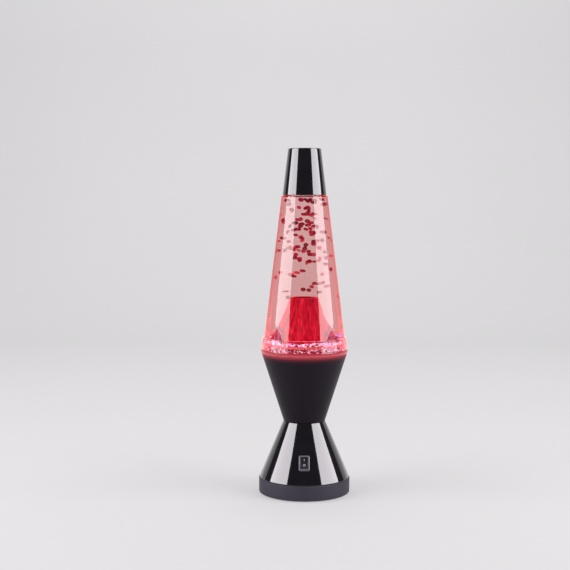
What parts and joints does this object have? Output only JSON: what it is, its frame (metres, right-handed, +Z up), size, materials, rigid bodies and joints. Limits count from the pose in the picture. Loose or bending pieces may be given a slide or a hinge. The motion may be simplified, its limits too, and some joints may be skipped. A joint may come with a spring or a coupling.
{
  "type": "volcano motion lamp",
  "caption": "Hourglass-based liquid motion lamp: a clear tapered bottle with a red volcano and sequins, lit and stirred from a battery base, under a gloss black cap.",
  "frame": {"origin": "centre of the plane that the rubber feet stand on, under the axis of the lamp", "axes": "+Z up along the axis; the switch faces -Y; +X to the right seen from the switch"},
  "size_m": [0.09, 0.09, 0.34],
  "materials": {
    "gloss_black_plastic": "gloss",
    "satin_black_plastic": "satin",
    "matte_grey_plastic": "matte",
    "black_rubber": "matte",
    "clear_plastic": "gloss",
    "clear_liquid": "gloss",
    "red_volcano_plastic": "satin",
    "white_plastic": "satin",
    "steel": "satin",
    "nickel": "satin",
    "circuit_board": "satin",
    "cell_sleeve": "gloss",
    "red_insulation": "satin",
    "red_led": "gloss"
  },
  "bodies": {
    "base": {"foot_ring": "matte_grey_plastic", "base_plate": "satin_black_plastic", "rubber_foot_1": "black_rubber", "rubber_foot_2": "black_rubber", "rubber_foot_3": "black_rubber", "rubber_foot_4": "black_rubber", "base_screw_1": "steel", "base_screw_2": "steel", "base_screw_3": "steel", "base_screw_4": "steel", "battery_tray": "satin_black_plastic", "battery_1": "cell_sleeve", "contact_spring_1": "nickel", "contact_plate_1": "nickel", "battery_2": "cell_sleeve", "contact_spring_2": "nickel", "contact_plate_2": "nickel", "battery_3": "cell_sleeve", "contact_spring_3": "nickel", "contact_plate_3": "nickel", "lower_shell": "gloss_black_plastic", "switch_housing": "satin_black_plastic", "switch_terminal_1": "nickel", "switch_terminal_2": "nickel", "upper_shell": "satin_black_plastic", "wire_grommet": "black_rubber", "waist_screw_1": "steel", "waist_screw_2": "steel", "motor_plate": "white_plastic", "plate_screw_1": "steel", "plate_screw_2": "steel", "motor_can": "steel", "motor_end_cap": "white_plastic", "led_board": "circuit_board", "led_1": "red_led", "led_2": "red_led", "led_3": "red_led", "red_lead": "red_insulation", "switch_lead": "red_insulation", "black_lead": "black_rubber", "motor_twin_lead": "red_insulation"},
    "door": {"battery_door": "satin_black_plastic", "door_screw": "steel"},
    "rocker": {"switch_rocker": "satin_black_plastic"},
    "rotor": {"motor_shaft": "steel", "magnet_wheel": "white_plastic", "drive_magnet_1": "nickel", "drive_magnet_2": "nickel"},
    "bottle": {"bottle_dish": "clear_plastic", "impeller_pin": "steel", "ground_plate": "clear_plastic", "volcano": "red_volcano_plastic", "liquid": "clear_liquid", "bottle_shell": "clear_plastic", "bottle_closure": "white_plastic", "closure_seal": "black_rubber"},
    "impeller": {"impeller": "white_plastic", "impeller_magnet_1": "nickel", "impeller_magnet_2": "nickel"},
    "cap": {"top_cap": "gloss_black_plastic"}
  },
  "joints": [
    {"name": "rocker_tilt", "type": "hinge", "parent": "base", "child": "rocker", "pos_m": [0, -0.03461, 0.03541], "axis": [1, 0, 0], "range_deg": [0, 20]},
    {"name": "motor_spin", "type": "hinge", "parent": "base", "child": "rotor", "pos_m": [0, 0, 0.13], "axis": [0, 0, 1], "continuous": true},
    {"name": "door_drop", "type": "slide", "parent": "base", "child": "door", "axis": [0, 0, -1], "range_m": [0, 0.03]},
    {"name": "bottle_lift", "type": "slide", "parent": "base", "child": "bottle", "axis": [0, 0, 1], "range_m": [0, 0.06]},
    {"name": "impeller_spin", "type": "hinge", "parent": "bottle", "child": "impeller", "pos_m": [0, 0, 0.144], "axis": [0, 0, 1], "continuous": true},
    {"name": "cap_lift", "type": "slide", "parent": "bottle", "child": "cap", "axis": [0, 0, 1], "range_m": [0, 0.06]}
  ],
  "couplings": [
    {"joint": "impeller_spin", "follows": "motor_spin", "ratio": 1}
  ]
}
